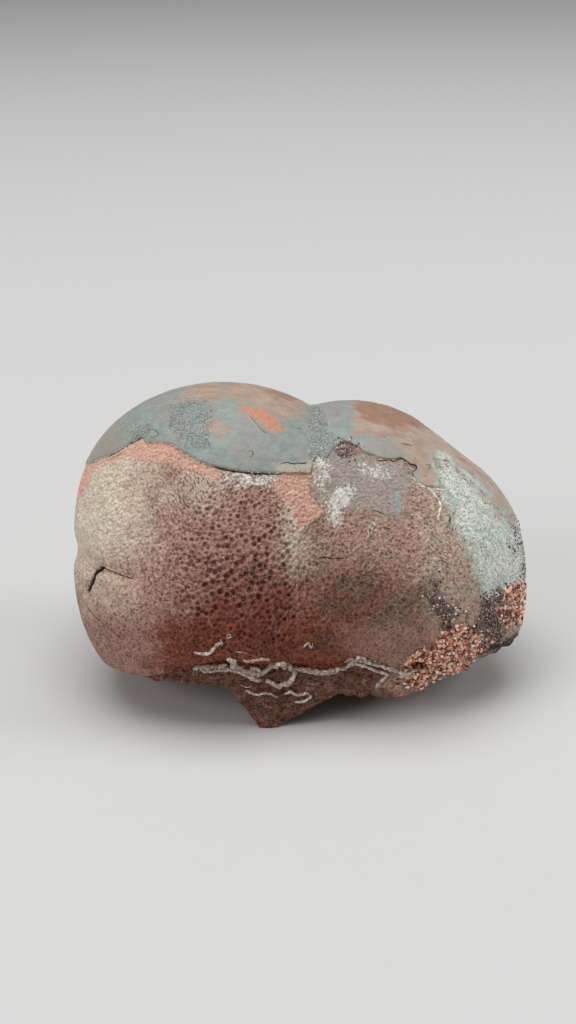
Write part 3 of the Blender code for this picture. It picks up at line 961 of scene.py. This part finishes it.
relief = times(hollow, -0.10)
relief = plus(times(pebbles.outputs["Distance"], between(quiet, 0.0, 1.0, 0.16, 0.42)), -1.0, relief)
for mask, much in ((crease, -0.06), (pit_rim, 0.04), (big_pit, -0.07), (ridge_highlight, 0.06), (fine, 0.10),
                   (wrinkle, -0.035), (grit, 0.05)):
    relief = plus(mask, much, relief)
relief = times(relief, plus(skin_here, -0.85, 1.0))
for mask, where, much in ((grit, skin_here, 0.012), (spots, skin_here, -0.03), (fine, teal_here, 0.16),
                          (grit, bloom_here, 0.10), (splints, rock_here, 0.45), (glint, rock_here, 0.12),
                          (fibres, marked("back"), 0.35)):
    relief = plus(times(mask, where), much, relief)
press_in(relief)
mesh.materials.append(crust_finish)
kidney = bpy.data.objects.new("kidney_stone", mesh)
scene.collection.objects.link(kidney)
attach(kidney, "root")
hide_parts("hematite_stone")

# The rim's ribbons: crumpled films of quartz and kaolin, caught between two layers and standing a
# little off the stone. Each is an uneven tube laid on the stone along a line drawn where it is seen,
# with its half width in mm.
RIBBONS = [
    ([(193, 669), (198, 666), (205, 667), (211, 666), (219, 666), (227, 664)], 0.35),
    ([(200, 670), (208, 671), (218, 670), (229, 669), (240, 672), (250, 677)], 0.29),
    ([(227, 658), (233, 660), (239, 667), (247, 671), (254, 673), (261, 675)], 0.39),
    ([(232, 662), (238, 669), (246, 675), (255, 679), (262, 680)], 0.32),
    ([(261, 675), (265, 670), (271, 665), (279, 663), (287, 664), (293, 669), (294, 675), (291, 680),
      (285, 684), (277, 685), (270, 682), (266, 678)], 0.36),
    ([(254, 675), (250, 671), (253, 667), (258, 669), (261, 674)], 0.29),
    ([(293, 667), (301, 669), (310, 670), (318, 671), (325, 671), (336, 669), (347, 666), (353, 660),
      (359, 659), (364, 660), (374, 663), (382, 666), (388, 668), (394, 670), (402, 673), (408, 676)], 0.32),
    ([(350, 664), (358, 664), (368, 667), (378, 671), (390, 675)], 0.23),
    ([(390, 675), (385, 678), (382, 681), (378, 685), (376, 688)], 0.22),
    ([(194, 652), (201, 653), (209, 653), (213, 649), (218, 644), (222, 643), (220, 639)], 0.19),
    ([(243, 660), (249, 661), (256, 660), (264, 659), (270, 660)], 0.20),
    ([(236, 652), (241, 652), (247, 653)], 0.12),
    ([(226, 637), (229, 634), (231, 637), (226, 638)], 0.10),
    ([(303, 648), (306, 644), (309, 643), (311, 648), (313, 643)], 0.10),
    ([(284, 694), (291, 692), (298, 695), (307, 693), (310, 697), (303, 701), (295, 702)], 0.19),
    ([(246, 690), (256, 694), (268, 693), (278, 697)], 0.17),
    ([(420, 668), (412, 672), (405, 676), (398, 676)], 0.23),
    ([(344, 662), (352, 658), (362, 657), (372, 660), (382, 664)], 0.20),
    ([(300, 671), (312, 673), (325, 674), (338, 672)], 0.16),
    ([(207, 676), (214, 678), (221, 677)], 0.06),
    ([(240, 685), (247, 687), (253, 686)], 0.06),
    ([(306, 683), (314, 684), (321, 683)], 0.05),
    ([(262, 704), (269, 707), (275, 706)], 0.05),
]
RIBBON_SPREAD = 1.12
SIDES = 8
stone_faces = BVHTree.FromPolygons([v.co.copy() for v in mesh.vertices], [tuple(q) for q in quads.tolist()])


def on_stone(x, y):
    """The place and outward normal of the stone at a picture point."""
    start = Vector(eye)
    way = Vector(lean_back(np.array([[across(x), up(y), 0.0]]))[0] / 1000.0) - start
    hit, out, index, away = stone_faces.ray_cast(start, way.normalized())
    if hit is None:
        return None
    return hit, out if out.dot(way) < 0.0 else -out


def curve_through(line, step=0.9):
    """Points every pixel or so on a smooth curve through a drawn line."""
    pts = [np.array(q, float) for q in line]
    pts = [2 * pts[0] - pts[1]] + pts + [2 * pts[-1] - pts[-2]]
    curve = []
    for a, b, c, d in zip(pts[:-3], pts[1:-2], pts[2:-1], pts[3:]):
        count = max(2, int(np.linalg.norm(c - b) / step))
        for t in np.arange(count) / count:
            curve.append(0.5 * (2 * b + (c - a) * t + (2 * a - 5 * b + 4 * c - d) * t ** 2
                                + (3 * b - a - 3 * c + d) * t ** 3))
    curve.append(pts[-2])
    return curve


def laid_path(line):
    """Places and normals on the stone along a drawn line, bridged over where the stone falls away."""
    path = []
    for x, y in curve_through(line):
        x += 0.6 * noise.noise(Vector((x * 0.35, y * 0.35, 4.0)))
        y += 0.6 * noise.noise(Vector((x * 0.35, y * 0.35, 9.0)))
        met = on_stone(x, y)
        if met:
            path.append(met)
    bridged = []
    for n, (place, out) in enumerate(path):
        near = path[max(0, n - 3):n + 4]
        out = sum((q[1] for q in near), Vector()).normalized()
        level = sum((q[0] for q in near), Vector()) / len(near)
        bridged.append((place + out * max(0.0, (level - place).dot(out)), out))
    return bridged


def lay_along(name, lines, finish, flatness, rise, uneven):
    """One mesh of uneven tubes laid on the stone along lines drawn where they are seen."""
    points = []
    faces = []
    for line, girth in lines:
        path = laid_path(line)
        first_ring = len(points)
        for n, (place, out) in enumerate(path):
            ahead = (path[min(n + 1, len(path) - 1)][0] - path[max(n - 1, 0)][0]).normalized()
            side = ahead.cross(out).normalized()
            out = side.cross(ahead).normalized()
            taper = min(1.0, 0.3 + min(n, len(path) - 1 - n) / 5.0)
            for k in range(SIDES):
                turn = 2.0 * math.pi * k / SIDES
                wave = noise.noise(place * 2300.0 + Vector((0, 0, k * 0.7)))
                spread = girth * taper * (1.0 + uneven * wave)
                points.append(place + side * (math.cos(turn) * spread / 1000.0)
                              + out * ((math.sin(turn) * spread * flatness + girth * rise) / 1000.0))
            if n:
                a = first_ring + (n - 1) * SIDES
                b = first_ring + n * SIDES
                for k in range(SIDES):
                    m = (k + 1) % SIDES
                    faces.append((a + k, a + m, b + m, b + k))
        last = len(points) - SIDES
        faces.append(tuple(range(first_ring + SIDES - 1, first_ring - 1, -1)))
        faces.append(tuple(range(last, last + SIDES)))
    laid = bpy.data.meshes.new(name)
    laid.from_pydata(points, [], faces)
    laid.update()
    turned = bmesh.new()
    turned.from_mesh(laid)
    bmesh.ops.recalc_face_normals(turned, faces=turned.faces)
    turned.to_mesh(laid)
    turned.free()
    for face in laid.polygons:
        face.use_smooth = True
    laid.materials.append(finish)
    piece = bpy.data.objects.new(name, laid)
    scene.collection.objects.link(piece)
    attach(piece, "root")


film, tree, shader, in_mm = start_finish("pale film", 0.5, 0.35)
crumple = mottle(0.5, 4.0, 0.65)
# the film's dark creases and pale folds are painted shade and painted highlight
crumple_shade_and_highlight = over(between(crumple, 0.30, 0.44), tone(92, 66, 58), tone(190, 162, 151))
crumple_shade_and_highlight = over(between(crumple, 0.47, 0.62), crumple_shade_and_highlight, tone(242, 232, 224))
tree.links.new(crumple_shade_and_highlight, shader.inputs["Base Color"])
press_in(times(crumple, 0.25))
lay_along("rim_ribbons", [(line, RIBBON_SPREAD * girth) for line, girth in RIBBONS], film, 0.85, 0.35, 0.9)

# Hairline cracks and parting lines in the skin and the crust: open, and dark inside; one dark thread along
# the skin's ledge is painted shadow under it. Each is a fine dark thread laid in the surface.
HAIRLINES_AND_LEDGE_SHADOW = [
    ([(103, 568), (112, 571), (120, 574.5), (128, 577), (134, 579)], 0.10),
    ([(88, 463.5), (96, 462), (104, 458)], 0.07),
    ([(104, 458), (112, 455), (120, 450.5), (126, 447), (131, 443.5), (138, 440), (143, 437)], 0.12),
    # a dark thread under the skin's ledge: painted shadow
    ([(212, 466.4), (222, 469), (233, 471.2), (248, 473.2), (258, 474), (268, 474.4), (283, 474)], 0.11),
    ([(280, 464.4), (284, 463), (288, 462.4), (293, 463.8), (298, 463), (303, 463.4), (308, 462.6)], 0.10),
    ([(296, 428.4), (299, 428.2), (303, 430)], 0.09),
    ([(401, 443), (406, 444), (413, 446)], 0.10),
    ([(375, 460.5), (382, 461), (389, 460), (394, 461.4), (399, 459), (403, 459), (408, 462), (411, 464.5),
      (415, 465), (417, 468), (414, 471), (413, 474), (415, 480)], 0.10),
    ([(318, 558), (326, 557.4), (333, 558.6), (345, 558)], 0.11),
    ([(372, 510), (377, 511), (381, 513.4), (385, 513)], 0.07),
    ([(360, 577), (366, 575), (372, 577)], 0.07),
    ([(86, 606), (95, 616), (105, 625), (114, 632), (123, 640)], 0.08),
    ([(425, 466), (427, 464.4), (430, 465.4), (430, 468), (427.6, 469), (425.6, 467.6)], 0.06),
    ([(247.4, 453), (249, 451), (252, 451), (253, 454), (251, 456.6), (248.4, 456)], 0.06),
    ([(146, 432), (150, 429.6), (155, 430), (158, 434), (154, 437), (149, 436.4)], 0.06),
    ([(202, 586), (204, 583), (207.6, 584), (207.6, 588), (204, 589)], 0.07),
    ([(241, 590), (243, 586), (246, 583)], 0.07),
    ([(250, 416), (262, 430), (268, 434)], 0.05),
    ([(437, 562), (441, 560), (446, 563), (449, 568)], 0.06),
    ([(445, 571), (447, 574), (446, 578)], 0.06),
    ([(450, 516), (449.5, 524)], 0.12),
    ([(456, 526), (455, 531)], 0.10),
    ([(461, 517), (460.5, 522)], 0.09),
    ([(465, 538), (464, 543)], 0.09),
    ([(482, 535), (484, 540)], 0.11),
    ([(480, 546), (482, 552)], 0.10),
    ([(419, 505), (422, 508), (421, 513)], 0.06),
    ([(456, 458), (462, 459.4), (467, 462)], 0.06),
    ([(384, 530), (388, 528), (392, 531)], 0.06),
]

# a mottle between two tones, which the cracks, the skin's edge and the veins share
two_tones = bpy.data.node_groups.new("mottled between two tones", "ShaderNodeTree")
for label, kind in (("Place", "Vector"), ("Fineness", "Float"), ("Low", "Float"), ("High", "Float"),
                    ("Dark", "Color"), ("Pale", "Color")):
    two_tones.interface.new_socket(label, in_out="INPUT", socket_type="NodeSocket" + kind)
two_tones.interface.new_socket("Colour", in_out="OUTPUT", socket_type="NodeSocketColor")
given = node(two_tones, "NodeGroupInput", {}).outputs
specks = node(two_tones, "ShaderNodeTexNoise", {"Vector": given["Place"], "Scale": given["Fineness"],
                                                "Detail": 3.0, "Roughness": 0.6})
paleness = node(two_tones, "ShaderNodeMapRange", {"Value": specks.outputs["Fac"], "From Min": given["Low"],
                                                  "From Max": given["High"]},
                interpolation_type="SMOOTHSTEP")
mixed = node(two_tones, "ShaderNodeMix", {0: paleness.outputs[0], 6: given["Dark"], 7: given["Pale"]},
             data_type="RGBA")
node(two_tones, "NodeGroupOutput", {"Colour": mixed.outputs[2]})


def two_tone(name, roughness, gloss, grain_size, low, high, dark_tone, pale_tone):
    """A finish mottled between two tones."""
    finish, nodes, body, places = start_finish(name, roughness, gloss)
    mottled = node(nodes, "ShaderNodeGroup",
                   {"Place": places, "Fineness": 1.0 / grain_size, "Low": low, "High": high,
                    "Dark": tone(*dark_tone), "Pale": tone(*pale_tone)}, node_tree=two_tones)
    nodes.links.new(mottled.outputs["Colour"], body.inputs["Base Color"])
    return finish


crack_and_shadow_finish = two_tone("open crack and ledge shadow", 0.7, 0.15, 0.9, 0.4, 0.65, (40, 30, 27), (96, 78, 68))
lay_along("hairline_cracks_and_ledge_shadow", HAIRLINES_AND_LEDGE_SHADOW, crack_and_shadow_finish, 0.5, -0.15, 0.7)

# The skin's broken edge: weathered hematite that shows the skin's thickness as a thin buff line. It is
# made of fine threads laid along the edge.
EDGE_LINES = [
    ([(98, 465), (108, 459.6), (118, 455), (128, 449)], 0.10),
    ([(146, 442.6), (153, 442.2), (160, 442.6), (168, 443.8), (175, 447), (184, 453), (192, 458.4),
      (200, 462.6), (212, 467.6)], 0.16),
    ([(283, 472), (292, 472.4), (302, 472.6), (309, 472)], 0.20),
    ([(313, 470), (315, 476), (311, 483), (310, 492), (313, 501), (319, 509)], 0.12),
    ([(325, 513), (318, 517), (309, 523), (302, 529), (298.6, 536), (298, 545)], 0.14),
    ([(298, 545), (297.6, 560), (297, 575), (296.6, 592)], 0.07),
]
buff = two_tone("buff edge", 0.6, 0.25, 0.5, 0.4, 0.6, (150, 122, 104), (204, 182, 160))
lay_along("skin_edge", EDGE_LINES, buff, 0.5, -0.1, 0.7)

# Fine white veins at the top of the worn patch: chalky mineral that filled hairline cracks. They are
# threads laid on the stone, standing a little proud.
VEINS = [
    ([(428, 487), (433, 493), (438, 499), (440.5, 506), (439, 513), (438, 521)], 0.15),
    ([(440, 504), (443, 498), (441, 493), (435, 492)], 0.11),
    ([(420, 486), (431, 489), (438, 489.4), (447, 490)], 0.10),
    ([(412, 476), (418, 483), (426, 488)], 0.09),
]
chalk = two_tone("white vein", 0.55, 0.3, 0.4, 0.36, 0.56, (170, 148, 136), (240, 234, 224))
lay_along("white_veins", VEINS, chalk, 0.5, 0.1, 0.8)

# Amber grains: loose orange and cream quartz grains under the right heel and at the right tip. They
# are small faceted bodies sown on the stone by area, as every kind of crystal below is.
SOWING_NUMBERS = (("Gap", "Float"), ("Most per area", "Float"), ("Smallest", "Float"), ("Largest", "Float"),
                  ("Length", "Float"), ("Seed", "Int"))


def sow_tree(name, finish, blocky):
    """Nodes that sow crystals on a ground where its sown mark is strong, each leaning its own way."""
    grow = bpy.data.node_groups.new(name, "GeometryNodeTree")
    grow.interface.new_socket("Ground", in_out="INPUT", socket_type="NodeSocketGeometry")
    for label, kind in SOWING_NUMBERS:
        grow.interface.new_socket(label, in_out="INPUT", socket_type="NodeSocket" + kind)
    grow.interface.new_socket("Crystals", in_out="OUTPUT", socket_type="NodeSocketGeometry")
    given = node(grow, "NodeGroupInput", {}).outputs
    where = node(grow, "GeometryNodeInputNamedAttribute", {"Name": "sown"}, data_type="FLOAT")
    sow = node(grow, "GeometryNodeDistributePointsOnFaces",
               {"Mesh": given["Ground"], "Distance Min": given["Gap"], "Density Max": given["Most per area"],
                "Density Factor": where.outputs["Attribute"], "Seed": given["Seed"]},
               distribute_method="POISSON").outputs
    if blocky:
        crystal = node(grow, "GeometryNodeMeshCube", {"Size": (1.5, 1.5, 1.5)})
    else:
        crystal = node(grow, "GeometryNodeMeshIcoSphere", {"Radius": 1.0, "Subdivisions": 1})
    size = node(grow, "FunctionNodeRandomValue", {2: given["Smallest"], 3: given["Largest"], "Seed": 3},
                data_type="FLOAT")
    slim = node(grow, "FunctionNodeRandomValue", {0: (0.55, 0.55, 0.7), 1: (1.0, 1.0, 1.0), "Seed": 5},
                data_type="FLOAT_VECTOR")
    stretch = node(grow, "ShaderNodeCombineXYZ", {0: 1.0, 1: 1.0, 2: given["Length"]})
    shaped = node(grow, "ShaderNodeVectorMath", {0: slim.outputs[0], 1: stretch.outputs[0]},
                  operation="MULTIPLY")
    sized = node(grow, "ShaderNodeVectorMath", {0: shaped.outputs[0], "Scale": size.outputs[1]},
                 operation="SCALE")
    lean = node(grow, "FunctionNodeRandomValue", {0: (-0.9, -0.9, -3.1), 1: (0.9, 0.9, 3.1), "Seed": 7},
                data_type="FLOAT_VECTOR")
    leaning = node(grow, "FunctionNodeEulerToRotation", {0: lean.outputs[0]})
    turned = node(grow, "FunctionNodeRotateRotation",
                  {"Rotation": sow["Rotation"], "Rotate By": leaning.outputs[0]}, rotation_space="LOCAL")
    grown = node(grow, "GeometryNodeInstanceOnPoints",
                 {"Points": sow["Points"], "Instance": crystal.outputs["Mesh"], "Rotation": turned.outputs[0],
                  "Scale": sized.outputs[0]})
    tint = node(grow, "FunctionNodeRandomValue", {"Seed": 11}, data_type="FLOAT")
    tinted = node(grow, "GeometryNodeStoreNamedAttribute",
                  {"Geometry": grown.outputs["Instances"], "Name": "tint", "Value": tint.outputs[1]},
                  data_type="FLOAT", domain="INSTANCE")
    solid = node(grow, "GeometryNodeRealizeInstances", {"Geometry": tinted.outputs["Geometry"]})
    done = node(grow, "GeometryNodeSetMaterial", {"Geometry": solid.outputs["Geometry"], "Material": finish})
    node(grow, "NodeGroupOutput", {"Crystals": done.outputs["Geometry"]})
    return grow


def sow_on_stone(name, density, finish, blocky, *numbers):
    """Grow one kind of crystal where density is above nothing, as a plain mesh."""
    density = np.clip(density, 0, 1)
    used, renumbered = np.unique(quads[density[quads].max(axis=1) > 0.02], return_inverse=True)
    ground_mesh = stone_mesh(name + "_ground", placed[used], renumbered.reshape(-1, 4))
    mark(ground_mesh, "sown", density[used])
    ground = bpy.data.objects.new(name + "_ground", ground_mesh)
    scene.collection.objects.link(ground)
    modifier = ground.modifiers.new("sow", "NODES")
    modifier.node_group = sow_tree(name + " growth", finish, blocky)
    wanted = dict(zip([label for label, kind in SOWING_NUMBERS], numbers))
    for item in modifier.node_group.interface.items_tree:
        if item.in_out == "INPUT" and item.name in wanted:
            modifier[item.identifier] = wanted[item.name]
    evaluated = ground.evaluated_get(bpy.context.evaluated_depsgraph_get())
    crystals_mesh = bpy.data.meshes.new_from_object(evaluated)
    crystals_mesh.name = name
    ground.modifiers.remove(modifier)
    bpy.data.objects.remove(ground)
    for face in crystals_mesh.polygons:
        face.use_smooth = False
    crystals = bpy.data.objects.new(name, crystals_mesh)
    scene.collection.objects.link(crystals)
    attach(crystals, "root")


def glassy(name, roughness, *steps):
    """A glassy finish whose colour differs from crystal to crystal."""
    finish = bpy.data.materials.new(name)
    finish.use_nodes = True
    body = finish.node_tree.nodes["Principled BSDF"]
    each = node(finish.node_tree, "ShaderNodeAttribute", {}, attribute_name="tint")
    tints = node(finish.node_tree, "ShaderNodeValToRGB", {"Fac": each.outputs["Fac"]})
    while len(tints.color_ramp.elements) < len(steps):
        tints.color_ramp.elements.new(0.5)
    for element, (at, colour) in zip(tints.color_ramp.elements, steps):
        element.position = at
        element.color = tone(*colour)
    finish.node_tree.links.new(tints.outputs["Color"], body.inputs["Base Color"])
    body.inputs["Roughness"].default_value = roughness
    body.inputs["Specular IOR Level"].default_value = 0.5
    return finish


amber = glassy("amber grains", 0.22, (0.0, (80, 34, 22)), (0.28, (196, 124, 98)), (0.70, (255, 198, 168)),
               (1.0, (255, 240, 226)))
sow_on_stone("amber_grains", grain, amber, True, 0.00021, 16.0e6, 0.00008, 0.00037, 1.25, 2)

# Black crystals: small dark blocks beside the grains, by the right edge and in the hollow at the top.
# They are hematite too, sown like the grains but finer.
# the palest tints are painted glints on some of the crystals
black = glassy("black crystals", 0.22, (0.0, (34, 28, 28)), (0.45, (78, 58, 54)), (0.7, (150, 122, 112)),
               (0.86, (236, 228, 220)))
sow_on_stone("black_crystals", dark_grain * 0.9, black, True, 0.00020, 14.0e6, 0.00007, 0.00020, 1.4, 5)

# White bloom: fine white crystals under the skin's edge and on the worn patch, sown where the bloom is
# thickest.
white = glassy("white bloom", 0.35, (0.0, (176, 168, 158)), (0.4, (214, 208, 196)), (1.0, (240, 238, 230)))
thick_bloom = np.clip(bloom * 1.3 - 0.3, 0, 1) * 0.7 * outer
sow_on_stone("bloom_crystals", thick_bloom, white, False, 0.00016, 16.0e6, 0.00005, 0.00015, 1.5, 8)

# Sparkles in the skin: the bright faces of fine hematite plates, thick in its speckled parts and thin
# on the rest. They are very small blocks, sown.
glitter = glassy("glitter", 0.18, (0.0, (90, 96, 96)), (0.35, (196, 204, 202)), (1.0, (246, 248, 244)))
sparkling = np.clip(speckle * 0.9 + 0.05 * on_skin * front, 0, 1) * (py > 380)
sow_on_stone("skin_sparkles", sparkling, glitter, True, 0.00022, 5.0e6, 0.00003, 0.00008, 1.2, 13)

# Druse on the teal band: a crust of fine icy quartz crystals, standing up from the stone. They are
# sown where the band is full.
icy = glassy("icy druse", 0.30, (0.0, (140, 150, 146)), (0.2, (186, 200, 194)), (0.6, (222, 228, 218)),
             (1.0, (246, 248, 240)))
full_band = np.clip(teal * 1.5 - 0.55, 0, 1) * 0.5 * front * outer
sow_on_stone("teal_druse", full_band, icy, False, 0.00018, 14.0e6, 0.00004, 0.00014, 1.7, 17)
